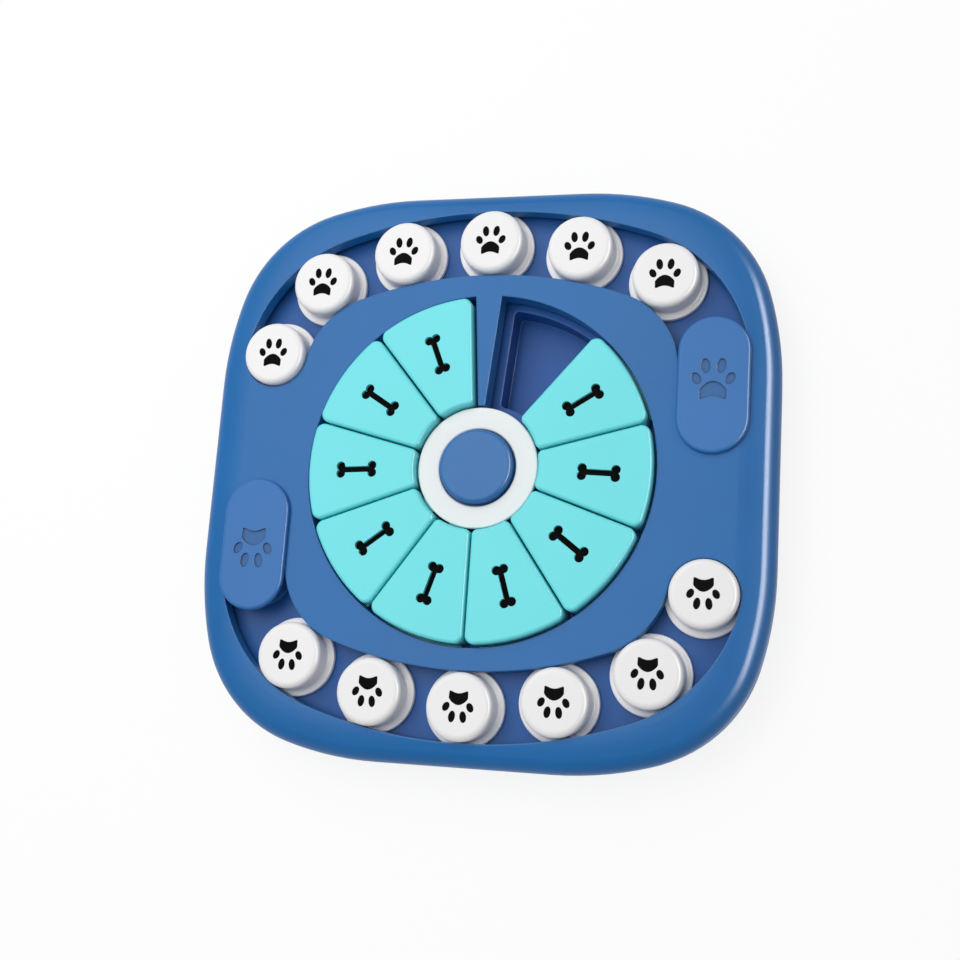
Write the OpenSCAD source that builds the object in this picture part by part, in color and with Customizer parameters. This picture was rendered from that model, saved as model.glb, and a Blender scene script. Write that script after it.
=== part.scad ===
// Dog puzzle feeder: a square body with bowed sides, a ring of sliding wedge covers round a sprung
// centre button, two curved tracks of sliding knobs and two sliding lids. Millimetres, +Z up, origin on
// the table under the centre of the body, +Y towards the upper row of knobs.

/* [Body] */
// Width of the body from side to side
body_size = 290; // [282:1:330]
// Radius where a side turns towards a corner
flank_r = 168; // [140:1:200]
// Radius of each corner
corner_r = 70; // [50:1:90]
// Height of the deck above the table
deck_height = 34; // [32:0.5:44]
// Radius of the gentle crown outside the tracks
crown_r = 60; // [40:1:90]
// Angle at which the crown meets the rolled edge
crown_angle = 12; // [8:0.5:14]
// Radius of the rolled outer edge
edge_r = 9.5; // [8:0.5:11]
// Wall of the top cover
cover_wall = 2.4; // [1.8:0.1:3]
// Straight skirt of the top cover below its rolled edge
cover_skirt = 2; // [1:0.5:4]
// Step from the top cover in to the base wall at the parting line
parting_step = 0.8; // [0.4:0.1:1.5]
// Wall and floor of the base shell
base_wall = 2.2; // [1.8:0.1:3]
// Height of the set-back plinth under the base
plinth_h = 3; // [2.5:0.5:5]
// Depth that the plinth is set back
plinth_step = 2.5; // [1:0.5:2.5]
// Wall of the trays inside the body
tray_wall = 2.2; // [1.6:0.1:2.6]

/* [Wheel] */
// Outer radius of the ring of wedges
wheel_r = 87; // [80:0.5:87.5]
// Gap between the wedges and the wall of their recess
wheel_gap = 1.5; // [1:0.1:2]
// Angle that each wedge takes
wedge_pitch = 35; // [34:0.1:35.5]
// Gap between neighbouring wedges
wedge_gap = 1; // [0.8:0.1:1.6]
// Height of the wedges, knobs and button above the deck
proud = 4.3; // [3.8:0.1:6]
// Radius on the upper edges of the wedges
wedge_round = 1.8; // [1:0.1:2]
// Radius of the outer corners of the wedges
wedge_corner = 4.5; // [3:0.5:6]
// Radius of the inner corners of the wedges
wedge_inner_corner = 3; // [2.8:0.1:4]
// Wall of the wedges
wedge_wall = 2.2; // [1.6:0.1:3]
// Depth of the shelf that the wedges slide on, below the deck
shelf_depth = 13.5; // [12.5:0.5:15]
// Width of the shelf round each pocket
shelf_width = 3.2; // [2.5:0.1:5]
// Depth of the treat pockets below the deck
pocket_depth = 27.5; // [22:0.5:27.5]
// Radius of the corners of the pockets
pocket_corner = 2.5; // [1:0.5:4]
// Reach of each wedge's foot under the edge of the deck
foot_reach = 3; // [2.4:0.1:3.4]
// Thickness of each wedge's foot
foot_t = 2.3; // [1.8:0.1:3]
// Width of each wedge's tongue under the ring
tongue_w = 8; // [6:0.5:10]
// Thickness of each wedge's tongue
tongue_t = 3; // [2:0.1:4]
// Distance from the centre to the middle of each bone window
bone_r = 61.4; // [55:0.1:66]
// Length of each bone window
bone_l = 21; // [16:0.5:26]
// Radius of the four knuckles of a bone
bone_knuckle = 2.3; // [1.8:0.1:3]
// Width of the shaft of a bone
bone_shaft = 3; // [2:0.1:4]

/* [Hub] */
// Outer radius of the ring that holds the wedges down
ring_r = 30.4; // [29.8:0.1:31]
// Thickness of the ring
ring_t = 2.6; // [2:0.1:3.4]
// Radius of the centre button
button_r = 18.4; // [15:0.1:18.6]
// Gap between the button and the ring
button_gap = 1.1; // [0.8:0.1:1.6]
// Travel of the button
button_travel = 3; // [2:0.5:3.5]
// Radius on the button's upper edge
button_round = 2; // [1:0.1:3]
// Wall of the button
button_wall = 2.2; // [1.8:0.1:3]
// Reach of the button's rim under the ring
rim_w = 2.2; // [1.8:0.1:2.6]
// Outer radius of the hub post
post_r = 25.6; // [25.2:0.1:26.2]
// Radius of the pegs under the ring
peg_r = 1.2; // [1:0.1:1.4]
// Length of the pegs
peg_l = 8; // [5:0.5:9]
// Radius of the squeaker bulb
bulb_r = 12; // [9:0.5:13]
// Height of the squeaker bulb
bulb_h = 19.5; // [17:0.5:21]

/* [Tracks] */
// Height of the middle of each track above the centre
track_y = 116.5; // [116.2:0.1:117]
// Radius of the long arc of each track
track_r1 = 225; // [215:1:235]
// Radius of the arc where a track turns down
track_r2 = 59; // [56:0.5:61]
// Distance from the centre line to the straight end of each track
track_x = 113.7; // [113.4:0.1:115]
// Width of the slot in the deck
slot_w = 34; // [33.8:0.1:34.4]
// Depth of the slot's edges below the deck
slot_edge = 7.5; // [6.5:0.1:7.8]
// Depth of the track floor below the deck
track_depth = 11; // [10.9:0.1:12]
// Width of the channel under the deck
channel_w = 40.4; // [40:0.1:40.8]
// Height at which the straight end of each track stops, under its lid
track_end = 26.3; // [25.4:0.1:29]
// Radius of the treat wells
well_r = 13; // [9:0.5:15]
// Depth of the treat wells
well_depth = 12; // [6:0.5:14]

/* [Knobs] */
// Radius of a knob's head
knob_r = 16.4; // [15:0.1:16.6]
// Radius on the head's upper edge
knob_round = 3; // [1:0.1:3.4]
// Radius of a knob's flange
flange_r = 19.6; // [18.6:0.1:19.7]
// Thickness of a knob's flange
flange_t = 2.6; // [2:0.1:2.8]
// Radius of the hollow where head meets flange
neck_r = 1.4; // [0.5:0.1:1.6]
// Wall of a knob
knob_wall = 2.2; // [1.6:0.1:3]
// Depth of the paw inlay
inlay_t = 0.6; // [0.4:0.1:1]
// Angle between knobs on the long arc
knob_step = 11.75; // [11.6:0.05:11.9]
// Angle of the second and sixth knob on the turn of the track
knob_turn = 54.7; // [54:0.1:55.5]
// Angle of the first knob on the turn of the track
knob_end = 10.1; // [9.5:0.1:10.6]

/* [Lids] */
// Width of a lid
lid_w = 34.6; // [34.5:0.1:38]
// Length of a lid
lid_l = 67.3; // [66:0.1:70]
// Height of a lid above the deck
lid_rise = 3.2; // [2.8:0.1:5]
// Gap between a lid and the deck it slides on
lid_gap = 0.3; // [0.2:0.05:0.5]
// Radius on a lid's upper edge
lid_round = 1.6; // [0.8:0.1:2.2]
// Height of a lid's middle above the centre of the body
lid_y = 41.4; // [40:0.1:42.5]
// Radius of a lid's post
lid_post_r = 9; // [6:0.5:12]
// Height of a lid's post above the centre of the body
lid_post_y = 52; // [50:0.1:54]
// Scale of the paw pressed into a lid, against the one on a knob
lid_paw = 1.36; // [1:0.02:1.5]
// Depth of the paw pressed into a lid
lid_paw_t = 0.8; // [0.4:0.1:1.4]

/* [Fastenings] */
// Height of the rubber feet below the base
pad_h = 2; // [1:0.5:4]
// Radius of the rubber feet
pad_r = 8; // [5:0.5:11]
// Distance of each foot from the centre lines, both ways
pad_xy = 96; // [90:1:101]
// Depth of the seats of the feet
pad_seat = 0.6; // [0.3:0.1:1]
// Distance from the centre to the four inner screws
screw_in = 101; // [99:0.5:103]
// Distance from the centre to the four outer screws
screw_out = 161; // [160:0.5:162]
// Radius of a screw's shank
screw_r = 1.45; // [1:0.05:1.8]
// Radius of a screw's head
head_r = 2.9; // [2.2:0.1:3.2]
// Height of a screw's head
head_h = 1.8; // [1.2:0.1:1.9]
// Radius of the screw bosses
boss_r = 3.8; // [3.4:0.1:4.2]
// Height of the joint between a base boss and a cover boss
boss_joint = 20; // [14:0.5:22]

/* [Hidden] */
$fn = 96;
gap = 0.3;
fit = 0.05;
blend = 0.02; // each rounding stands this proud of the surfaces it blends, so that it crosses them
half = body_size / 2;
far = body_size; // reaches past the body from any point inside it
// Heights
base_z = pad_h;
floor_z = base_z + base_wall;
shelf_z = deck_height - shelf_depth;
pocket_z = deck_height - pocket_depth;
track_z = deck_height - track_depth;
slot_z = deck_height - slot_edge;
top_z = deck_height + proud;
ring_z = deck_height - ring_t;
deck_under = deck_height - cover_wall;
roll_z = deck_height - crown_r * (1 - cos(crown_angle)) - edge_r * cos(crown_angle);
seam_z = roll_z - cover_skirt;
roll_w = crown_r * sin(crown_angle) + edge_r * (1 - sin(crown_angle));
// Outline: each quarter is half a straight side, a flank arc, a corner arc and the same mirrored. The
// flank turns through the angle of a 7-24-25 triangle, so the ends of neighbouring sweeps agree exactly
u1 = [0.96, 0.28];
u2 = [0.28, 0.96];
turn = atan2(u1[1], u1[0]);
c1 = [half - flank_r, half - flank_r] + (flank_r - corner_r) * [0, u1[0] - u1[1]];
c2 = c1 + (flank_r - corner_r) * u1;
c3 = [c1[1], c1[0]];
side_y = c1[1];
// Wheel: nine wedges, one open space and a fixed strip share the circle
wedges = 9;
recess_r = wheel_r + wheel_gap;
strip_half = (360 - (wedges + 1) * wedge_pitch) / 2;
wedge_in = ring_r + 1;
tongue_in = post_r + 0.7;
wedge_z = shelf_z + gap;
tongue_z = ring_z - 0.4;
foot_r = wheel_r + foot_reach;
tub_bore = foot_r + 0.7;
skirt_z = wedge_z + foot_t + 0.4;
pocket_in = wedge_in + shelf_width;
pocket_out = recess_r - shelf_width;
// Hub
ring_bore = button_r + button_gap;
rim_r = button_r + rim_w;
post_bore = rim_r + 0.6;
rim_top = ring_z - gap;
bulb_z = top_z - button_wall - gap - bulb_h;
hub_floor = bulb_z - gap;
peg_at = (post_r + post_bore) / 2;
// Tracks
turn_x = track_x - track_r2;
arc_y = track_y - track_r1;
turn_y = arc_y + sqrt(pow(track_r1 - track_r2, 2) - turn_x * turn_x);
join = atan2(turn_y - arc_y, turn_x);
flange_z = track_z + gap;
channel_top = slot_z + 2;
paw_rise = 2.2; // what the middle of a lid's paw stands above the middle of the lid
// Where the six knobs of a track stand
knobs = [
    [-turn_x - track_r2 * cos(knob_end), turn_y + track_r2 * sin(knob_end)],
    [-turn_x - track_r2 * cos(knob_turn), turn_y + track_r2 * sin(knob_turn)],
    [-track_r1 * sin(knob_step), arc_y + track_r1 * cos(knob_step)],
    [0, track_y],
    [track_r1 * sin(knob_step), arc_y + track_r1 * cos(knob_step)],
    [turn_x + track_r2 * cos(knob_turn), turn_y + track_r2 * sin(knob_turn)]
];
screws = [for (a = [45:90:315], r = [screw_in, screw_out]) r * [cos(a), sin(a)]];
seat_z = base_z + head_h + 0.2;
pilot_depth = 7;

// ---- shared shapes ----

// Points of the body's outline, moved in by d, n to each arc
function outline(d, n = 12) = [for (q = [0:3], k = [0:3 * n])
    let (s = min(floor(k / n), 2), t = k / n - s,
        r = (s == 1 ? corner_r : flank_r) - d,
        a = s == 0 ? t * turn : s == 1 ? turn + t * (90 - 2 * turn) : 90 + (t - 1) * turn,
        p = [c1, c2, c3][s] + r * [cos(a), sin(a)])
    [p[0] * cos(q * 90) - p[1] * sin(q * 90), p[0] * sin(q * 90) + p[1] * cos(q * 90)]];

// Sweeps a cutter round the outline. Its x is 0 at the outline and negative inside it
module sweep_outline() {
    for (q = [0:3]) rotate(q * 90) {
        translate([0, side_y, 0]) rotate([90, 0, 0]) linear_extrude(2 * side_y)
            translate([half, 0]) children();
        sector(c1, flank_r, -turn, [1, 0], u1) children();
        sector(c2, corner_r, 0, u1, u2) children();
        sector(c3, flank_r, 90 - 2 * turn, u2, [0, 1]) children();
    }
}
module sector(c, r, from, u, v) {
    intersection() {
        translate([c[0], c[1], 0]) rotate(from) rotate_extrude(angle = 90, $fn = 288)
            translate([r, 0]) children();
        linear_extrude(2 * deck_height) polygon([c, c + far * u, c + far * v]);
    }
}
// Everything inside the outline moved in by d
module outline_fill(d) {
    for (q = [0:3]) rotate(q * 90) {
        translate([-10, -side_y]) square([half + 10 - d, 2 * side_y]);
        slice(c1, flank_r - d, [1, 0], u1);
        slice(c2, corner_r - d, u1, u2);
        slice(c3, flank_r - d, u2, [0, 1]);
    }
}
module slice(c, r, u, v) {
    intersection() {
        translate(c) circle(r, $fn = 288);
        polygon([c, c + far * u, c + far * v]);
    }
}

// Flat band along a track, w wide, from its round end at the first knob to its round end under the lid
module band(w) {
    e = 0.05;
    intersection() {
        difference() {
            track_fill(w / 2);
            track_fill(-w / 2);
        }
        polygon([[0, track_end], [half, track_end], [half, half], [-half, half],
            [-turn_x, turn_y] + half * [-cos(knob_end), sin(knob_end)], [-turn_x, turn_y], [0, turn_y]]);
    }
    translate([track_x, track_end]) half_disc(w / 2, e);
    translate(knobs[0]) rotate(-knob_end) half_disc(w / 2, e);
}
// Everything inside a line that runs d outside the middle of a track
module track_fill(d) {
    l = 2 * track_r1;
    intersection() {
        translate([0, arc_y]) circle(track_r1 + d, $fn = 360);
        translate([0, arc_y]) polygon([[0, 0], l * [cos(join), sin(join)], l * [-cos(join), sin(join)]]);
    }
    for (s = [-1, 1]) translate([s * turn_x, turn_y]) circle(track_r2 + d, $fn = 192);
    translate([0, track_end - 1]) square([track_x + d, turn_y - track_end + 1]);
}
// The half of a disc below its middle, and e more
module half_disc(r, e) {
    intersection() {
        circle(r);
        translate([-r - 1, -r - 1]) square([2 * r + 2, r + 1 + e]);
    }
}

// A ring sector one pitch wide about +X, its sides moved in by g, with rounded inner and outer corners
module pie(r1, r2, g, ci, co) {
    a = wedge_pitch / 2;
    l = 2 * r2;
    difference() {
        intersection() {
            difference() {
                circle(r2, $fn = 192);
                circle(r1, $fn = 192);
            }
            translate([g / sin(a), 0])
                polygon([[0, 0], l * [cos(a), -sin(a)], [l, 0], l * [cos(a), sin(a)]]);
        }
        for (s = [-1, 1]) {
            if (ci > 0) corner_cut(s, pie_angle(r1 + ci, g + ci), r1 + ci, ci, -1);
            if (co > 0) corner_cut(s, pie_angle(r2 - co, g + co), r2 - co, co, 1);
        }
    }
}
// Angle from +X of a point at radius r that lies d inside the side of a pie
function pie_angle(r, d) = wedge_pitch / 2 - asin(d / r);
module corner_cut(s, b, r, c, out) {
    n = [-sin(wedge_pitch / 2), s * cos(wedge_pitch / 2)];
    u = out * [cos(b), s * sin(b)];
    translate([r * cos(b), s * r * sin(b)]) difference() {
        polygon([[0, 0], 2 * c * u, 2 * c * (u + n), 2 * c * n]);
        circle(c + blend);
    }
}

// A strip w wide and h high whose upper outer edge, at x = 0, has radius r
module strip_section(w, h, r) {
    difference() {
        translate([-w, 0]) square([w, h]);
        difference() {
            translate([-r, h - r]) square(r + 1);
            translate([-r, h - r]) circle(r);
        }
    }
}

// What a rounding of radius r takes off an edge at the origin, standing e proud
module round_cut(r, e) {
    difference() {
        translate([-r, -r]) square(r + 2);
        translate([-r, -r]) circle(r + e);
    }
}

// A paw print upright about the origin: one pad and four toes
module paw() {
    polygon([for (t = [0:12:348]) let (c = cos(t), s = sin(t), v = abs(s)) [
        4.75 * c * (1 - 0.3 * max(s, 0)),
        -4 + (s < 0 ? 2.8 * v * v - 5 * pow(v, 0.3) : 3.3 * s)]]);
    for (s = [-1, 1]) {
        translate([5.9 * s, 0.2]) rotate(-28 * s) toe(1.65, 2.3);
        translate([2.75 * s, 4.75]) rotate(-8 * s) toe(1.65, 2.75);
    }
}
module toe(a, b) {
    polygon([for (t = [0:18:342]) [a * cos(t), b * sin(t)]]);
}

// A bone lying along +X
module bone() {
    x = bone_l / 2 - bone_knuckle;
    translate([-x, -bone_shaft / 2]) square([2 * x, bone_shaft]);
    for (i = [-1, 1], j = [-1, 1]) translate([i * x, 0.8 * j * bone_knuckle])
        circle(bone_knuckle, $fn = 32);
}

// ---- body ----

// Section of what lies above and outside the cover's crown and rolled edge, t below its outer face
module outside(t) {
    difference() {
        translate([-roll_w, roll_z]) square([roll_w + 4, deck_height - roll_z + 1]);
        translate([-roll_w, deck_height - crown_r]) circle(crown_r - t + blend, $fn = 360);
    }
    translate([-edge_r, roll_z]) difference() {
        polygon([[0, 0], 20 * [sin(crown_angle), cos(crown_angle)], [13, 13], [13, 0]]);
        circle(edge_r - t + 2 * blend);
    }
    translate([-t, seam_z - 3]) square([t + 4, deck_height - seam_z + 4]);
}
// The cover as a solid block, t inside its outer face
module cover_block(t) {
    difference() {
        translate([0, 0, seam_z - t]) linear_extrude(deck_height - seam_z) polygon(outline(t - 0.2));
        sweep_outline() outside(t);
    }
}

module top_cover() {
    color("steelblue") difference() {
        cover_block(0);
        difference() {
            cover_block(cover_wall);
            translate([0, 0, slot_z]) linear_extrude(deck_height - slot_z)
                for (s = [0, 180]) rotate(s) band(slot_w + 2 * tray_wall);
            translate([0, 0, skirt_z]) cylinder(h = deck_height - skirt_z, r = tub_bore - gap, $fn = 192);
            for (p = screws) translate([p[0], p[1], boss_joint])
                cylinder(h = deck_height - boss_joint, r = boss_r, $fn = 32);
        }
        for (s = [0, 180]) rotate(s) translate([0, 0, seam_z]) linear_extrude(deck_height) band(slot_w);
        difference() {
            translate([0, 0, seam_z - 2]) cylinder(h = deck_height, r = recess_r, $fn = 192);
            translate([0, 0, shelf_z + 0.1]) linear_extrude(shelf_depth - 0.1)
                strip_2d(wedge_in, recess_r + 4);
            translate([0, 0, shelf_z + 0.1]) linear_extrude(ring_z - shelf_z - 0.2)
                strip_2d(tongue_in, wedge_in + 1);
        }
        for (p = screws) translate([p[0], p[1], boss_joint - 1])
            cylinder(h = pilot_depth + 1, r = screw_r + fit, $fn = 24);
    }
}
// The fixed strip between the first wedge and the open space
module strip_2d(r1, r2) {
    a = 90 - strip_half;
    l = 2 * r2;
    intersection() {
        difference() {
            circle(r2, $fn = 192);
            circle(r1, $fn = 192);
        }
        translate([0, wedge_gap / sin(strip_half)])
            polygon([[0, 0], l * [cos(a), sin(a)], [0, l], l * [-cos(a), sin(a)]]);
    }
}

module base_shell() {
    color("#2a6fb3") difference() {
        union() {
            translate([0, 0, base_z]) linear_extrude(plinth_h + 1)
                outline_fill(parting_step + plinth_step);
            translate([0, 0, base_z + plinth_h]) linear_extrude(seam_z - base_z - plinth_h)
                outline_fill(parting_step);
        }
        difference() {
            translate([0, 0, floor_z]) linear_extrude(seam_z)
                outline_fill(parting_step + plinth_step + base_wall);
            for (p = screws) translate([p[0], p[1], base_z])
                cylinder(h = boss_joint - base_z, r = boss_r, $fn = 32);
        }
        translate([0, 0, base_z + plinth_h + base_wall]) linear_extrude(seam_z) difference() {
            outline_fill(parting_step + base_wall);
            outline_fill(parting_step + plinth_step + base_wall + 1);
        }
        for (x = [-1, 1], y = [-1, 1]) translate([x * pad_xy, y * pad_xy, base_z - 1])
            cylinder(h = pad_seat + 1, r = pad_r + fit);
        for (p = screws) translate([p[0], p[1], base_z - 1]) {
            cylinder(h = seat_z - base_z + 1, r = head_r + 0.2, $fn = 32);
            cylinder(h = boss_joint, r = screw_r + fit, $fn = 24);
        }
    }
}

module wheel_tub() {
    color("#385f96") difference() {
        translate([0, 0, floor_z])
            cylinder(h = deck_under - gap - floor_z, r = tub_bore + tray_wall, $fn = 192);
        difference() {
            translate([0, 0, shelf_z]) cylinder(h = deck_height - shelf_z, r = tub_bore, $fn = 192);
            translate([0, 0, shelf_z - 1]) cylinder(h = ring_z - shelf_z + 1, r = post_r);
        }
        translate([0, 0, hub_floor]) cylinder(h = deck_height, r = post_bore);
        translate([0, 0, floor_z - 1])
            cylinder(h = hub_floor - tray_wall - floor_z + 1, r = pocket_in - tray_wall);
        for (k = [0:wedges]) rotate(90 - strip_half - (k + 0.5) * wedge_pitch)
            translate([0, 0, pocket_z]) linear_extrude(shelf_z + 1 - pocket_z)
                pie(pocket_in, pocket_out, shelf_width, pocket_corner, pocket_corner);
        for (a = [45:90:315]) rotate(a) translate([peg_at, 0, ring_z - peg_l - gap])
            cylinder(h = peg_l + gap + 1, r = peg_r + fit, $fn = 24);
    }
}

module track_tray(s) {
    color("#375988") rotate(s) difference() {
        translate([0, 0, floor_z]) linear_extrude(channel_top - floor_z) band(channel_w + 2 * tray_wall);
        translate([0, 0, track_z]) linear_extrude(deck_height) band(channel_w);
        difference() {
            translate([0, 0, floor_z - 1]) linear_extrude(track_z - tray_wall - floor_z + 1)
                band(channel_w);
            for (p = knobs) translate([p[0], p[1], track_z - well_depth - tray_wall])
                cylinder(h = well_depth + tray_wall, r = well_r + tray_wall);
        }
        for (p = knobs) translate([p[0], p[1], track_z - well_depth])
            cylinder(h = well_depth + 1, r = well_r);
    }
}
module track_tray_top() { track_tray(0); }
module track_tray_bottom() { track_tray(180); }

module base_screws() {
    color("silver") for (p = screws) translate([p[0], p[1], seat_z]) {
        translate([0, 0, -head_h]) cylinder(h = head_h, r = head_r, $fn = 32);
        cylinder(h = boss_joint + 6 - seat_z, r = screw_r, $fn = 24);
    }
}

module rubber_feet() {
    color("dimgray") for (x = [-1, 1], y = [-1, 1]) translate([x * pad_xy, y * pad_xy, 0])
        cylinder(h = base_z + pad_seat, r = pad_r);
}

// ---- wheel ----

// Wedge k stands k places round from the fixed strip
module wedge(k) {
    color("#84e1e8") rotate(90 + strip_half + (k - 0.5) * wedge_pitch) {
        difference() {
            union() {
                wedge_cap(top_z - wedge_z);
                translate([0, 0, wedge_z]) linear_extrude(foot_t)
                    pie(wheel_r - wedge_wall, foot_r, wedge_corner, 0, 0);
                translate([tongue_in, -tongue_w / 2, tongue_z - tongue_t])
                    cube([wedge_in + wedge_wall / 2 - tongue_in, tongue_w, tongue_t]);
            }
            translate([0, 0, wedge_z - 1]) linear_extrude(top_z - wedge_wall - wedge_z + 1)
                pie(wedge_in + wedge_wall, wheel_r - wedge_wall, wedge_gap / 2 + wedge_wall, 0.6, 2);
            translate([bone_r, 0, top_z - wedge_wall - 1]) linear_extrude(wedge_wall + 2) bone();
        }
    }
}
// Solid wedge h high whose upper edge is rounded along its arcs, sides and corners
module wedge_cap(h) {
    g = wedge_gap / 2;
    ri = wedge_in + wedge_inner_corner;
    ro = wheel_r - wedge_corner;
    bi = pie_angle(ri, g + wedge_inner_corner);
    bo = pie_angle(ro, g + wedge_corner);
    translate([0, 0, wedge_z]) difference() {
        linear_extrude(h) pie(wedge_in, wheel_r, g, wedge_inner_corner, wedge_corner);
        translate([0, 0, h]) {
            rotate(-wedge_pitch / 2) rotate_extrude(angle = wedge_pitch, $fn = 192) {
                translate([wheel_r, 0]) round_cut(wedge_round, blend);
                translate([wedge_in, 0]) mirror([1, 0]) round_cut(wedge_round, blend);
            }
            for (s = [0, 1]) mirror([0, s, 0]) {
                rotate(wedge_pitch / 2) translate([wedge_in, -g, 0]) rotate([90, 0, 90])
                    linear_extrude(wheel_r - wedge_in) round_cut(wedge_round, blend);
                translate([ro * cos(bo), ro * sin(bo), 0]) rotate(bo)
                    rotate_extrude(angle = 90 + wedge_pitch / 2 - bo) translate([wedge_corner, 0])
                        round_cut(wedge_round, 3 * blend);
                translate([ri * cos(bi), ri * sin(bi), 0]) rotate(90 + wedge_pitch / 2)
                    rotate_extrude(angle = 90 - wedge_pitch / 2 + bi) translate([wedge_inner_corner, 0])
                        round_cut(wedge_round, 3 * blend);
            }
        }
    }
}
module wedge_1() { wedge(1); }
module wedge_2() { wedge(2); }
module wedge_3() { wedge(3); }
module wedge_4() { wedge(4); }
module wedge_5() { wedge(5); }
module wedge_6() { wedge(6); }
module wedge_7() { wedge(7); }
module wedge_8() { wedge(8); }
module wedge_9() { wedge(9); }

// ---- hub ----

module retaining_ring() {
    color("#e2e6e7") {
        translate([0, 0, ring_z]) rotate_extrude() intersection() {
            translate([ring_r, 0]) strip_section(ring_r - ring_bore, ring_t, 0.8);
            translate([ring_bore, 0]) mirror([1, 0]) strip_section(ring_r - ring_bore, ring_t, 0.8);
        }
        for (a = [45:90:315]) rotate(a) translate([peg_at, 0, ring_z - peg_l])
            cylinder(h = peg_l, r = peg_r, $fn = 24);
    }
}

module centre_button() {
    h = top_z - rim_top + 2;
    color("#5182bc") translate([0, 0, rim_top - 2]) rotate_extrude() difference() {
        union() {
            translate([button_r, 0]) strip_section(button_r, h, button_round);
            square([rim_r, 2]);
        }
        translate([0, -1]) square([button_r - button_wall, h - button_wall + 1]);
    }
}

module squeaker_bulb() {
    color("ivory") translate([0, 0, bulb_z]) rotate_extrude() difference() {
        translate([bulb_r, 0]) strip_section(bulb_r, bulb_h, 4);
        translate([0, 1.5]) square([bulb_r - 1.5, bulb_h - 5]);
    }
}

// ---- knobs ----

module knob(s, k) {
    color("#ebedf2") rotate(s) translate([knobs[k - 1][0], knobs[k - 1][1], flange_z]) difference() {
        rotate_extrude() {
            h = top_z - flange_z;
            difference() {
                translate([knob_r, 0]) strip_section(knob_r, h, knob_round);
                translate([0, -1]) square([knob_r - knob_wall, h - knob_wall - inlay_t + 1]);
            }
            translate([knob_r, 0]) difference() {
                square([flange_r - knob_r, flange_t]);
                difference() {
                    translate([flange_r - knob_r - 0.8, flange_t - 0.8]) square(1);
                    translate([flange_r - knob_r - 0.8, flange_t - 0.8]) circle(0.8, $fn = 24);
                }
            }
            translate([knob_r, flange_t]) difference() {
                square(neck_r);
                translate([neck_r, neck_r]) circle(neck_r, $fn = 24);
            }
        }
        translate([0, 0, top_z - flange_z - inlay_t]) linear_extrude(inlay_t + 1) paw();
    }
}
module inlay(s, k) {
    color("black") rotate(s) translate([knobs[k - 1][0], knobs[k - 1][1], top_z - inlay_t])
        linear_extrude(inlay_t) paw();
}
module knob_top_1() { knob(0, 1); }
module knob_top_2() { knob(0, 2); }
module knob_top_3() { knob(0, 3); }
module knob_top_4() { knob(0, 4); }
module knob_top_5() { knob(0, 5); }
module knob_top_6() { knob(0, 6); }
module paw_top_1() { inlay(0, 1); }
module paw_top_2() { inlay(0, 2); }
module paw_top_3() { inlay(0, 3); }
module paw_top_4() { inlay(0, 4); }
module paw_top_5() { inlay(0, 5); }
module paw_top_6() { inlay(0, 6); }
module knob_bottom_1() { knob(180, 1); }
module knob_bottom_2() { knob(180, 2); }
module knob_bottom_3() { knob(180, 3); }
module knob_bottom_4() { knob(180, 4); }
module knob_bottom_5() { knob(180, 5); }
module knob_bottom_6() { knob(180, 6); }
module paw_bottom_1() { inlay(180, 1); }
module paw_bottom_2() { inlay(180, 2); }
module paw_bottom_3() { inlay(180, 3); }
module paw_bottom_4() { inlay(180, 4); }
module paw_bottom_5() { inlay(180, 5); }
module paw_bottom_6() { inlay(180, 6); }

// ---- lids ----

module lid(s) {
    h = lid_rise - lid_gap;
    r = lid_w / 2;
    b = (lid_l - lid_w) / 2;
    color("#5486bb") rotate(s) difference() {
        union() {
            translate([track_x, lid_y, deck_height + lid_gap]) {
                for (a = [0, 180]) rotate(a) {
                    translate([0, b, 0]) rotate_extrude(angle = 180) translate([r, 0])
                        strip_section(r, h, lid_round);
                    translate([0, b, 0]) rotate([90, 0, 0]) linear_extrude(2 * b) translate([r, 0])
                        strip_section(r, h, lid_round);
                }
            }
            translate([track_x, lid_post_y, flange_z + flange_t])
                cylinder(h = deck_height + lid_gap + 0.5 - flange_z - flange_t, r = lid_post_r);
        }
        translate([track_x, lid_y + paw_rise, deck_height + lid_rise - lid_paw_t])
            linear_extrude(lid_rise) scale(lid_paw) paw();
        translate([track_x, lid_post_y, flange_z])
            cylinder(h = deck_height - 1 - flange_z, r = screw_r + fit, $fn = 24);
    }
}
module lid_foot(s) {
    color("#345787") rotate(s) translate([track_x, lid_post_y, flange_z]) difference() {
        cylinder(h = flange_t, r = flange_r);
        translate([0, 0, -1]) cylinder(h = head_h + 1.1, r = head_r + 0.2, $fn = 32);
        cylinder(h = flange_t + 1, r = screw_r + fit, $fn = 24);
    }
}
module lid_screw(s) {
    color("silver") rotate(s) translate([track_x, lid_post_y, flange_z + 0.1]) {
        cylinder(h = head_h, r = head_r, $fn = 32);
        cylinder(h = deck_height - 2 - flange_z, r = screw_r, $fn = 24);
    }
}
module lid_right() { lid(0); }
module lid_left() { lid(180); }
module lid_foot_right() { lid_foot(0); }
module lid_foot_left() { lid_foot(180); }
module lid_screw_right() { lid_screw(0); }
module lid_screw_left() { lid_screw(180); }

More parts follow.
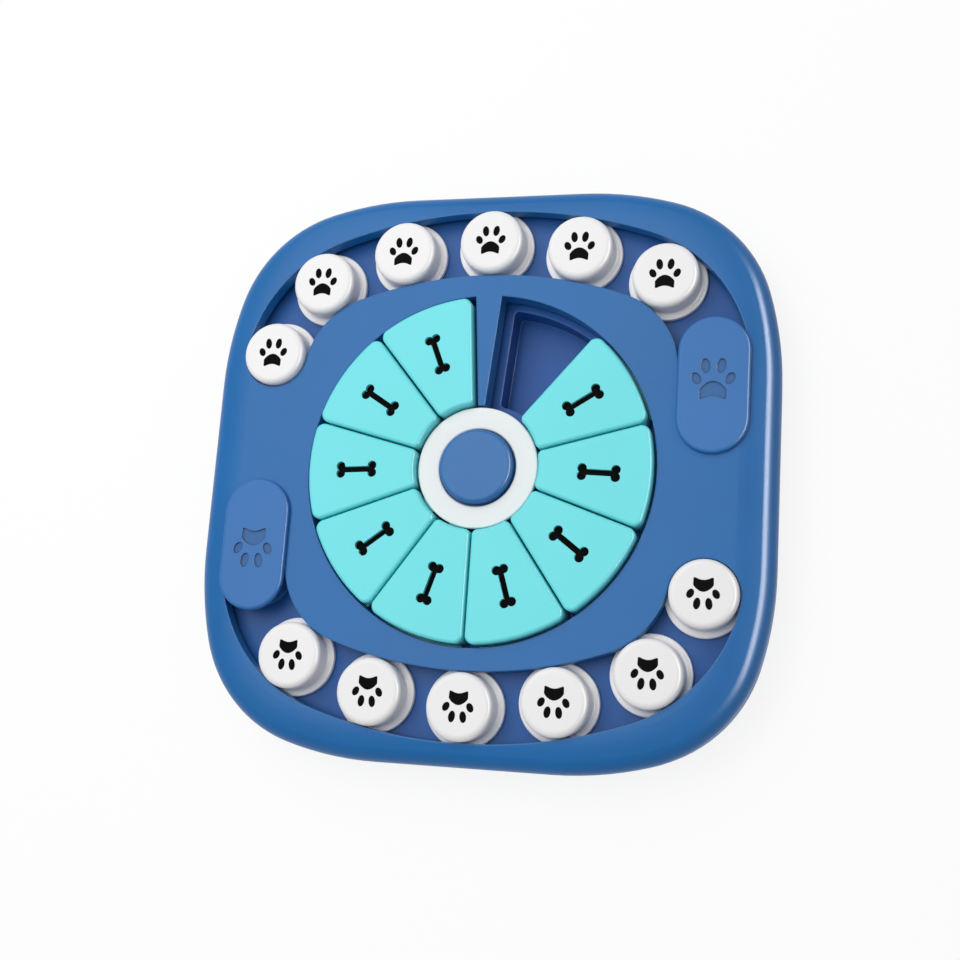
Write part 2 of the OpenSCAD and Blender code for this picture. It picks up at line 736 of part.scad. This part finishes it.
top_cover();
base_shell();
wheel_tub();
track_tray_top();
track_tray_bottom();
base_screws();
rubber_feet();
wedge_1();
wedge_2();
wedge_3();
wedge_4();
wedge_5();
wedge_6();
wedge_7();
wedge_8();
wedge_9();
retaining_ring();
centre_button();
squeaker_bulb();
knob_top_1();
knob_top_2();
knob_top_3();
knob_top_4();
knob_top_5();
knob_top_6();
paw_top_1();
paw_top_2();
paw_top_3();
paw_top_4();
paw_top_5();
paw_top_6();
knob_bottom_1();
knob_bottom_2();
knob_bottom_3();
knob_bottom_4();
knob_bottom_5();
knob_bottom_6();
paw_bottom_1();
paw_bottom_2();
paw_bottom_3();
paw_bottom_4();
paw_bottom_5();
paw_bottom_6();
lid_right();
lid_left();
lid_foot_right();
lid_foot_left();
lid_screw_right();
lid_screw_left();
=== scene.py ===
"""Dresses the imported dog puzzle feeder: finishes for every moulded piece, a studio and a camera.

Lengths are metres, +Z up, and the origin is on the table under the middle of the body.
"""
import math

import bpy
import numpy as np
from bpy.props import FloatProperty, FloatVectorProperty, PointerProperty
from mathutils import Euler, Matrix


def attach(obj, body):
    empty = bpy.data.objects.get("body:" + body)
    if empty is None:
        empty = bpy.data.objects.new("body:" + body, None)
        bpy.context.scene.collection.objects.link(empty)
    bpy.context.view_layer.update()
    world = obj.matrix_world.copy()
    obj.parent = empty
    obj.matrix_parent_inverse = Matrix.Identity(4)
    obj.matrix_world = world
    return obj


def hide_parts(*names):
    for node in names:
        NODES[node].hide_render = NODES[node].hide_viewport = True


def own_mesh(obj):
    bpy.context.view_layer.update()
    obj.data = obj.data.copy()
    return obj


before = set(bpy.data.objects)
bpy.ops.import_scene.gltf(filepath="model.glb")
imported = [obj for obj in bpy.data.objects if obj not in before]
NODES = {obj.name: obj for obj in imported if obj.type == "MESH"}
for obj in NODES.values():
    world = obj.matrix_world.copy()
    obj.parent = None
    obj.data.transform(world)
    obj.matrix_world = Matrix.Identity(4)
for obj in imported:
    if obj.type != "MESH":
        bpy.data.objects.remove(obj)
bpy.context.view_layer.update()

bl_info = {
    "name": "Dog Puzzle Feeder",
    "version": (1, 0, 0),
    "blender": (4, 5, 0),
    "location": "3D View > Sidebar > Feeder",
    "description": "Finishes and studio for a dog puzzle feeder with sliding wedges, knobs and lids",
    "category": "Object",
}


def linear(hex_colour):
    """Linear red, green and blue of a colour written as six hex digits."""
    c = np.array([int(hex_colour[i:i + 2], 16) for i in (0, 2, 4)]) / 255
    return tuple(np.where(c <= 0.04045, c / 12.92, ((c + 0.055) / 1.055) ** 2.4))


def colour(name, description, hex_colour):
    """A colour property with its default."""
    return FloatVectorProperty(name=name, description=description, subtype="COLOR",
                               default=linear(hex_colour), min=0, max=1, size=3)


# ---- settings ----

class FeederColours(bpy.types.PropertyGroup):
    """Colours of the moulded pieces."""
    cover: colour("Cover", "Top cover of the body", "0c61a2")
    base: colour("Base", "Base shell under the cover", "0c5698")
    pocket: colour("Pockets", "Tub of treat pockets under the wedges", "0e5098")
    tray: colour("Trays", "Trays under the knobs", "175092")
    wedge: colour("Wedges", "Sliding wedge covers", "6cdce2")
    ring: colour("Ring", "Retaining ring round the button", "e4e8e8")
    button: colour("Button", "Centre button", "2c6aa8")
    lid: colour("Lids", "Sliding lids", "2a6aac")
    knob: colour("Knobs", "Sliding knobs", "eae9ea")
    # the paw black also colours the painted shade sheets under the wedge bones
    paw: colour("Paws", "Paw inlays on the knobs", "030304")
    bulb: colour("Squeaker", "Squeaker bulb under the button", "e8dfc8")
    rubber: colour("Feet", "Rubber feet", "2b2d31")
    steel: colour("Screws", "Screws", "b4b6ba")


class FeederFinish(bpy.types.PropertyGroup):
    """Sizes of the surface detail."""
    edge_round: FloatProperty(name="Edge rounding", description="Radius that the slot and pocket edges show",
                              default=0.0011, min=0.0001, max=0.003, subtype="DISTANCE", unit="LENGTH")
    small_round: FloatProperty(name="Small edge rounding",
                               description="Radius that the edges of small pieces show",
                               default=0.0005, min=0.0001, max=0.002, subtype="DISTANCE", unit="LENGTH")
    grain: FloatProperty(name="Grain", description="Size of the fine moulding grain",
                         default=0.0006, min=0.0002, max=0.003, subtype="DISTANCE", unit="LENGTH")
    # how far the painted shade in creases reaches
    crease: FloatProperty(name="Crease", description="How far from a corner the darker creases reach",
                          default=0.004, min=0.001, max=0.02, subtype="DISTANCE", unit="LENGTH")
    mottle: FloatProperty(name="Mottle", description="Size of the faint changes of colour in the plastic",
                          default=0.05, min=0.01, max=0.2, subtype="DISTANCE", unit="LENGTH")


class FeederStudio(bpy.types.PropertyGroup):
    """Camera and lights."""
    camera_at: FloatVectorProperty(name="Camera place", description="Where the camera stands",
                                   default=(0.1788, -0.1348, 0.6649), subtype="TRANSLATION", unit="LENGTH")
    camera_turn: FloatVectorProperty(name="Camera turn", description="Turn of the camera about X, Y and Z",
                                     default=tuple(math.radians(a) for a in (12.1584, 14.8574, 4.0475)),
                                     subtype="EULER", unit="ROTATION")
    lens: FloatProperty(name="Lens", description="Focal length on a 36 mm sensor", default=51.10, min=20,
                        max=200)
    sky: FloatProperty(name="Fill", description="Strength of the even light from all round", default=0.44,
                       min=0, max=2)
    key: FloatProperty(name="Key", description="Power of the large soft light", default=11.4, min=0,
                       max=100, unit="POWER")
    rim: FloatProperty(name="Rim", description="Power of the strip light behind", default=46.0, min=0,
                       max=100, unit="POWER")


# ---- finishes ----

def node_adder(block):
    """Empties the node tree of a material or a world, and returns a function that adds nodes to it."""
    block.use_nodes = True
    tree = block.node_tree
    tree.nodes.clear()

    def add(kind, inputs=None, **values):
        node = tree.nodes.new(kind)
        for key, value in values.items():
            setattr(node, key, value)
        for key, value in (inputs or {}).items():
            if isinstance(value, bpy.types.NodeSocket):
                tree.links.new(value, node.inputs[key])
            else:
                node.inputs[key].default_value = value
        return node

    return add


def new_material(name):
    """An empty node material and the function that adds its nodes."""
    material = bpy.data.materials.new(name)
    return material, node_adder(material)


def rgba(tint, gain=1.0):
    """A colour as a node takes it, brightened by gain."""
    return tuple(min(1, c * gain) for c in tint) + (1,)


GRAIN_HEIGHT = 0.00003
WEAR_AND_HIGHLIGHT_WHITE = 0.35  # how far an edge goes towards white, as painted highlight and wear
SHARP_CORNER = 0.72  # dot product of the rounded and the flat normal at which an edge is at its palest
OPEN_SKY, DEEP_CREASE = 0.95, 0.35  # shares of open sky at which the painted shade in a crease starts and is at its darkest
CREASE_GAIN = 0.12  # brightness of the painted shade in the deepest crease
LEVEL_NORMAL, SUNK_SHADE = 0.98, 0.26  # how upright a level face's normal is, and how much painted shade darkens a sunk one


def moulded_plastic(name, tint, roughness, edge, depth=0.10, wear_and_highlight=0.25, shine=0.25, crease_shade_strength=0.35, sunk=None):
    """Injection-moulded plastic. One noise shifts its colour by depth and its gloss a little, and another gives
    the fine grain. The corners look rounded by edge, and the plastic pales along them, a painted highlight with
    some wear, by the amount wear_and_highlight. Painted shade darkens its creases and hollows by
    crease_shade_strength, and the level faces below the height sunk too. Shine is the specular level."""
    finish = bpy.context.scene.feeder_finish
    material, add = new_material(name)
    place = add("ShaderNodeTexCoord").outputs["Object"]
    mottle = add("ShaderNodeTexNoise", {"Vector": place, "Scale": 1 / finish.mottle, "Detail": 3.0})
    grain = add("ShaderNodeTexNoise", {"Vector": place, "Scale": 1 / finish.grain, "Detail": 2.0})
    rounded = add("ShaderNodeBevel", {"Radius": edge}, samples=6)
    flat = add("ShaderNodeNewGeometry").outputs["Normal"]
    facing = add("ShaderNodeVectorMath", {0: rounded.outputs["Normal"], 1: flat}, operation="DOT_PRODUCT")
    corner = add("ShaderNodeMapRange", {"Value": facing.outputs["Value"], "From Min": 1.0,
                                        "From Max": SHARP_CORNER, "To Max": wear_and_highlight})
    body = add("ShaderNodeMix", {"Factor": mottle.outputs["Fac"], 6: rgba(tint, 1 - depth),
                                 7: rgba(tint, 1 + depth)}, data_type="RGBA")
    # painted highlight and wear: the edges pale towards white
    worn_and_highlit = rgba(c + (1 - c) * WEAR_AND_HIGHLIGHT_WHITE for c in tint)
    edged = add("ShaderNodeMix", {"Factor": corner.outputs["Result"], 6: body.outputs[2], 7: worn_and_highlit},
                data_type="RGBA")
    # painted shade: ambient occlusion darkens creases and hollows towards a dark tint
    hollow = add("ShaderNodeAmbientOcclusion", {"Distance": finish.crease}, samples=6, only_local=True)
    crease_shade_mask = add("ShaderNodeMapRange", {"Value": hollow.outputs["AO"], "From Min": OPEN_SKY,
                                      "From Max": DEEP_CREASE, "To Max": crease_shade_strength})
    shade = crease_shade_mask.outputs["Result"]
    # painted shade on the level faces below sunk, such as the floor of a lid's paw recess
    if sunk is not None:
        height = add("ShaderNodeSeparateXYZ", {"Vector": place}).outputs["Z"]
        below = add("ShaderNodeMath", {0: height, 1: sunk}, operation="LESS_THAN").outputs[0]
        up = add("ShaderNodeSeparateXYZ", {"Vector": flat}).outputs["Z"]
        level = add("ShaderNodeMath", {0: up, 1: LEVEL_NORMAL}, operation="GREATER_THAN").outputs[0]
        floor = add("ShaderNodeMath", {0: below, 1: level}, operation="MULTIPLY").outputs[0]
        shade = add("ShaderNodeMath", {0: floor, 1: SUNK_SHADE, 2: shade},
                    operation="MULTIPLY_ADD").outputs[0]
    # painted shade: creases and sunk faces mix towards a dark copy of the tint
    skin = add("ShaderNodeMix", {"Factor": shade, 6: edged.outputs[2], 7: rgba(tint, CREASE_GAIN)},
               data_type="RGBA")
    gloss = add("ShaderNodeMapRange", {"Value": mottle.outputs["Fac"], "To Min": roughness - 0.04,
                                       "To Max": roughness + 0.05})
    bump = add("ShaderNodeBump", {"Height": grain.outputs["Fac"], "Normal": rounded.outputs["Normal"],
                                  "Strength": 0.35, "Distance": GRAIN_HEIGHT})
    shader = add("ShaderNodeBsdfPrincipled", {
        "Base Color": skin.outputs[2], "Roughness": gloss.outputs["Result"], "Normal": bump.outputs["Normal"],
        "IOR": 1.49, "Specular IOR Level": shine})
    add("ShaderNodeOutputMaterial", {"Surface": shader.outputs["BSDF"]})
    return material


def soft_rubber(name, tint):
    """Matt rubber with a pebbled skin from a cell pattern."""
    material, add = new_material(name)
    place = add("ShaderNodeTexCoord").outputs["Object"]
    cells = add("ShaderNodeTexVoronoi", {"Vector": place, "Scale": 1400.0})
    clouds = add("ShaderNodeTexNoise", {"Vector": place, "Scale": 90.0, "Detail": 3.0})
    body = add("ShaderNodeMix", {"Factor": clouds.outputs["Fac"], 6: rgba(tint, 0.8), 7: rgba(tint, 1.25)},
               data_type="RGBA")
    bump = add("ShaderNodeBump", {"Height": cells.outputs["Distance"], "Strength": 0.4, "Distance": 0.0001})
    shader = add("ShaderNodeBsdfPrincipled", {"Base Color": body.outputs[2], "Roughness": 0.72,
                                              "Normal": bump.outputs["Normal"]})
    add("ShaderNodeOutputMaterial", {"Surface": shader.outputs["BSDF"]})
    return material


def turned_steel(name, tint):
    """Plated steel with the fine rings that turning leaves round each screw."""
    material, add = new_material(name)
    place = add("ShaderNodeTexCoord").outputs["Object"]
    rings = add("ShaderNodeTexWave", {"Vector": place, "Scale": 900.0, "Distortion": 2.0}, wave_type="RINGS",
                rings_direction="Z")
    gloss = add("ShaderNodeMapRange", {"Value": rings.outputs["Fac"], "To Min": 0.24, "To Max": 0.4})
    clouds = add("ShaderNodeTexNoise", {"Vector": place, "Scale": 300.0})
    body = add("ShaderNodeMix", {"Factor": clouds.outputs["Fac"], 6: rgba(tint, 0.85), 7: rgba(tint, 1.1)},
               data_type="RGBA")
    shader = add("ShaderNodeBsdfPrincipled", {"Base Color": body.outputs[2], "Metallic": 1.0,
                                              "Roughness": gloss.outputs["Result"]})
    add("ShaderNodeOutputMaterial", {"Surface": shader.outputs["BSDF"]})
    return material


def solid_from_grid(name, points, material, body):
    """A closed piece that rides on body, from an array of rings x columns x 3, with a fan over its first and
    last ring. Seen from the side that the rings climb to, each runs counter-clockwise."""
    rings, columns = points.shape[:2]
    low, high = points[0].mean(axis=0), points[-1].mean(axis=0)
    vertices = np.vstack([points.reshape(-1, 3), low, high])
    here = np.arange(rings * columns).reshape(rings, columns)
    there = np.roll(here, -1, axis=1)
    walls = np.stack([here[:-1], there[:-1], there[1:], here[1:]], axis=-1).reshape(-1, 4)
    last = rings * columns
    foot = np.stack([there[0], here[0], np.full(columns, last)], axis=-1)
    head = np.stack([here[-1], there[-1], np.full(columns, last + 1)], axis=-1)
    mesh = bpy.data.meshes.new(name)
    mesh.from_pydata(vertices.tolist(), [], walls.tolist() + foot.tolist() + head.tolist())
    mesh.materials.append(material)
    piece = bpy.data.objects.new(name, mesh)
    bpy.context.scene.collection.objects.link(piece)
    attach(piece, body)
    return piece


def dress(material, *names):
    """Gives CAD nodes a finish. A name that ends in an underscore stands for all nodes that start with it."""
    found = [o for n, o in NODES.items() if any(n == m or m.endswith("_") and n.startswith(m) for m in names)]
    if not found:
        raise RuntimeError(f"no piece is named {names}")
    for node in found:
        node.data.materials.clear()
        node.data.materials.append(material)


# ---- pieces ----

WEDGE_START, WEDGE_PITCH = 95, 35  # degrees from +X to the first wedge's side, and from wedge to wedge
BONE_REACH, BONE_HALF_LENGTH, BONE_HALF_WIDTH = 0.0614, 0.0132, 0.0062
# height and thickness of the painted shade sheet under each bone
SHADE_SHEET_TOP, SHADE_SHEET_THICKNESS = 0.03608, 0.0005
LID_RECESS = 0.0368  # a lid's level faces below this height are the bottom of its paw, and get painted shade
BULB_FOOT, BULB_HEIGHT, BULB_RADIUS = 0.0163, 0.0195, 0.0118
BULB_FOLDS, BULB_FOLD_DEPTH = 4, 0.06


def bone_shade_sheet(name, turn, angle, material, body):
    """A dark sheet of painted shade that closes a wedge's bone cut-out from inside, where the hollow below is
    in shade.
    Its outline is a superellipse of power 4, |x/a|^4 + |y/b|^4 = 1, laid along the wedge's middle at angle from
    +X.
    Its top and bottom are flat."""
    c, s = np.cos(turn), np.sin(turn)
    x = BONE_HALF_LENGTH * np.sign(c) * np.sqrt(np.abs(c))
    y = BONE_HALF_WIDTH * np.sign(s) * np.sqrt(np.abs(s))
    flat = np.stack([(BONE_REACH + x) * math.cos(angle) - y * math.sin(angle),
                     (BONE_REACH + x) * math.sin(angle) + y * math.cos(angle)], axis=-1)
    levels = np.array([SHADE_SHEET_TOP - SHADE_SHEET_THICKNESS, SHADE_SHEET_TOP])
    points = np.empty((len(levels), len(turn), 3))
    points[..., :2], points[..., 2] = flat, levels[:, None]
    return solid_from_grid(name, points, material, body)


def squeaker_bellows(name, turn, material, body):
    """A ribbed bellows that stands on its end. At the share h of its height its radius is
    R (1 - f + f cos 2 pi n h) (1 - |2h - 1|^10)^(1/4) with f the depth of a fold, so n folds run round it and
    both ends are rounded."""
    h = 0.5 - 0.5 * np.cos(np.linspace(0.04, 0.96, 72) * np.pi)
    folds = 1 - BULB_FOLD_DEPTH + BULB_FOLD_DEPTH * np.cos(2 * np.pi * BULB_FOLDS * h)
    radius = BULB_RADIUS * folds * (1 - np.abs(2 * h - 1) ** 10) ** 0.25
    points = np.empty((len(h), len(turn), 3))
    points[..., 0], points[..., 1] = np.outer(radius, np.cos(turn)), np.outer(radius, np.sin(turn))
    points[..., 2] = (BULB_FOOT + BULB_HEIGHT * h)[:, None]
    bulb = solid_from_grid(name, points, material, body)
    bulb.data.shade_smooth()
    return bulb


class FEEDER_OT_body(bpy.types.Operator):
    """Finish the top cover, the base shell and the tub of treat pockets"""
    bl_idname = "feeder.body"
    bl_label = "Body"

    def execute(self, context):
        colours, finish = context.scene.feeder_colours, context.scene.feeder_finish
        dress(moulded_plastic("cover_plastic", colours.cover, 0.33, finish.edge_round), "top_cover")
        dress(moulded_plastic("base_plastic", colours.base, 0.42, finish.edge_round), "base_shell")
        dress(moulded_plastic("pocket_plastic", colours.pocket, 0.40, finish.edge_round, crease_shade_strength=0.12),
              "wheel_tub")
        return {"FINISHED"}


class FEEDER_OT_trays(bpy.types.Operator):
    """Finish the trays that the knobs slide on"""
    bl_idname = "feeder.trays"
    bl_label = "Trays"

    def execute(self, context):
        colours, finish = context.scene.feeder_colours, context.scene.feeder_finish
        dress(moulded_plastic("tray_plastic", colours.tray, 0.42, finish.edge_round), "track_tray_")
        return {"FINISHED"}


class FEEDER_OT_wedges(bpy.types.Operator):
    """Finish the nine wedge covers and close their bones from inside with sheets of painted shade"""
    bl_idname = "feeder.wedges"
    bl_label = "Wedges"

    def execute(self, context):
        colours, finish = context.scene.feeder_colours, context.scene.feeder_finish
        dress(moulded_plastic("wedge_plastic", colours.wedge, 0.36, finish.small_round, depth=0.04), "wedge_")
        # painted shade: a black sheet under each bone stands for the shade in the hollow below
        bone_shade = moulded_plastic("bone_shade_black", colours.paw, 0.6, finish.small_round, wear_and_highlight=0.01, shine=0.03)
        turn = np.linspace(0, 2 * np.pi, 48, endpoint=False)
        for k in range(1, 10):
            angle = math.radians(WEDGE_START + (k - 0.5) * WEDGE_PITCH)
            bone_shade_sheet(f"bone_shade_sheet_{k}", turn, angle, bone_shade, f"wedge_{k}")
        return {"FINISHED"}


class FEEDER_OT_hub(bpy.types.Operator):
    """Finish the retaining ring and the centre button, and make the squeaker bulb under it"""
    bl_idname = "feeder.hub"
    bl_label = "Hub"

    def execute(self, context):
        colours, finish = context.scene.feeder_colours, context.scene.feeder_finish
        dress(moulded_plastic("ring_plastic", colours.ring, 0.38, finish.small_round, depth=0.03),
              "retaining_ring")
        dress(moulded_plastic("button_plastic", colours.button, 0.34, finish.small_round), "centre_button")
        turn = np.linspace(0, 2 * np.pi, 64, endpoint=False)
        bulb = squeaker_bellows("squeaker_bellows", turn, soft_rubber("bulb_rubber", colours.bulb), "housing")
        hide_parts("squeaker_bulb")
        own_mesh(bulb)
        return {"FINISHED"}


class FEEDER_OT_knobs(bpy.types.Operator):
    """Finish the twelve sliding knobs and their paw inlays"""
    bl_idname = "feeder.knobs"
    bl_label = "Knobs"

    def execute(self, context):
        colours, finish = context.scene.feeder_colours, context.scene.feeder_finish
        dress(moulded_plastic("knob_plastic", colours.knob, 0.36, finish.small_round, depth=0.03,
                              crease_shade_strength=0.08), "knob_")
        dress(moulded_plastic("paw_plastic", colours.paw, 0.6, finish.small_round, wear_and_highlight=0.01, shine=0.03),
              "paw_")
        return {"FINISHED"}


class FEEDER_OT_lids(bpy.types.Operator):
    """Finish the two sliding lids and their feet"""
    bl_idname = "feeder.lids"
    bl_label = "Lids"

    def execute(self, context):
        colours, finish = context.scene.feeder_colours, context.scene.feeder_finish
        # the lids get painted shade in their creases and on the floor of the paw recess
        dress(moulded_plastic("lid_plastic", colours.lid, 0.38, finish.small_round, crease_shade_strength=0.6,
                              sunk=LID_RECESS), "lid_right", "lid_left")
        dress(moulded_plastic("lid_foot_plastic", colours.lid, 0.38, finish.small_round), "lid_foot_")
        return {"FINISHED"}


class FEEDER_OT_fasteners(bpy.types.Operator):
    """Finish the screws and the rubber feet"""
    bl_idname = "feeder.fasteners"
    bl_label = "Screws and feet"

    def execute(self, context):
        colours = context.scene.feeder_colours
        dress(turned_steel("screw_steel", colours.steel), "base_screws", "lid_screw_")
        dress(soft_rubber("foot_rubber", colours.rubber), "rubber_feet")
        return {"FINISHED"}


# ---- studio ----

FLOOR_WHITE = 0.86  # share of the floor's look that is plain white, and the rest shows its shadows


def seen_directly(add):
    """1 for rays from the camera, a mirror or glass, and 0 for the rays that light the piece."""
    path = add("ShaderNodeLightPath")
    either = add("ShaderNodeMath", {0: path.outputs["Is Camera Ray"], 1: path.outputs["Is Glossy Ray"]},
                 operation="MAXIMUM")
    return add("ShaderNodeMath", {0: either.outputs[0], 1: path.outputs["Is Transmission Ray"]},
               operation="MAXIMUM").outputs[0]


def panel_light(name, power, size, at, turn):
    """A white rectangular light that faces down its own -Z. The turn about X, Y and Z is in degrees."""
    light = bpy.data.lights.new(name, "AREA")
    light.shape, light.size, light.size_y = "RECTANGLE", *size
    light.energy = power
    lamp = bpy.data.objects.new(name, light)
    lamp.location, lamp.rotation_euler = at, Euler(tuple(math.radians(a) for a in turn))
    bpy.context.scene.collection.objects.link(lamp)
    return lamp


class FEEDER_OT_stage(bpy.types.Operator):
    """Add the camera, the lights, the white surroundings and the floor"""
    bl_idname = "feeder.stage"
    bl_label = "Studio"

    def execute(self, context):
        scene, studio = context.scene, context.scene.feeder_studio
        camera = bpy.data.objects.new("camera", bpy.data.cameras.new("camera"))
        camera.data.lens, camera.data.sensor_width = studio.lens, 36
        camera.data.clip_start = 0.01
        camera.location, camera.rotation_euler = studio.camera_at, Euler(studio.camera_turn)
        scene.collection.objects.link(camera)
        scene.camera = camera

        scene.world = bpy.data.worlds.new("surroundings")
        add = node_adder(scene.world)
        light = add("ShaderNodeBackground", {"Color": (1, 1, 1, 1), "Strength": studio.sky})
        white = add("ShaderNodeBackground", {"Color": (1, 1, 1, 1), "Strength": 1.0})
        mixed = add("ShaderNodeMixShader", {0: seen_directly(add), 1: light.outputs[0], 2: white.outputs[0]})
        add("ShaderNodeOutputWorld", {"Surface": mixed.outputs[0]})

        panel_light("key_light", studio.key, (0.9, 1.4), (-0.35, 0.34, 1.1), (-17, -17, 0))
        rim = panel_light("rim_light", studio.rim, (0.22, 1.2), (0.88, 0.2, 0.7), (0, 52, 0))
        rim.visible_diffuse = False  # it only draws the bright line along the right shoulder

        bpy.ops.mesh.primitive_plane_add(size=30)
        floor = context.object
        floor.name = "floor"
        material, add = new_material("floor_paper")
        tooth = add("ShaderNodeTexNoise", {"Scale": 400.0})
        bump = add("ShaderNodeBump", {"Height": tooth.outputs["Fac"], "Strength": 0.05, "Distance": 0.0002})
        paper = add("ShaderNodeBsdfDiffuse", {"Color": (0.93, 0.93, 0.93, 1),
                                              "Normal": bump.outputs["Normal"]})
        white = add("ShaderNodeEmission", {"Color": (1, 1, 1, 1), "Strength": 1.0})
        share = add("ShaderNodeMath", {0: seen_directly(add), 1: FLOOR_WHITE}, operation="MULTIPLY")
        mixed = add("ShaderNodeMixShader", {0: share.outputs[0], 1: paper.outputs[0], 2: white.outputs[0]})
        add("ShaderNodeOutputMaterial", {"Surface": mixed.outputs[0]})
        floor.data.materials.append(material)

        scene.view_settings.view_transform = "Standard"
        return {"FINISHED"}


# ---- panel ----

class FEEDER_PT_panel(bpy.types.Panel):
    """Sizes, colours and pieces of the feeder"""
    bl_idname = "FEEDER_PT_panel"
    bl_label = "Dog Puzzle Feeder"
    bl_space_type = "VIEW_3D"
    bl_region_type = "UI"
    bl_category = "Feeder"

    def draw(self, context):
        layout, scene = self.layout, context.scene
        for group in (scene.feeder_colours, scene.feeder_finish, scene.feeder_studio):
            box = layout.box()
            for name in group.bl_rna.properties.keys():
                if name not in ("rna_type", "name"):
                    box.prop(group, name)
        for piece in PIECES:
            layout.operator(piece.bl_idname)


PIECES = (FEEDER_OT_body, FEEDER_OT_trays, FEEDER_OT_wedges, FEEDER_OT_hub, FEEDER_OT_knobs, FEEDER_OT_lids,
          FEEDER_OT_fasteners, FEEDER_OT_stage)
GROUPS = {"feeder_colours": FeederColours, "feeder_finish": FeederFinish, "feeder_studio": FeederStudio}


def register():
    for group in GROUPS.values():
        bpy.utils.register_class(group)
    for name, group in GROUPS.items():
        setattr(bpy.types.Scene, name, PointerProperty(type=group))
    for piece in PIECES:
        bpy.utils.register_class(piece)
    bpy.utils.register_class(FEEDER_PT_panel)


def unregister():
    bpy.utils.unregister_class(FEEDER_PT_panel)
    for piece in reversed(PIECES):
        bpy.utils.unregister_class(piece)
    for name in GROUPS:
        delattr(bpy.types.Scene, name)
    for group in reversed(list(GROUPS.values())):
        bpy.utils.unregister_class(group)


def main():
    register()
    for piece in PIECES:
        family, name = piece.bl_idname.split(".")
        getattr(getattr(bpy.ops, family), name)()


if __name__ == "__main__":
    main()
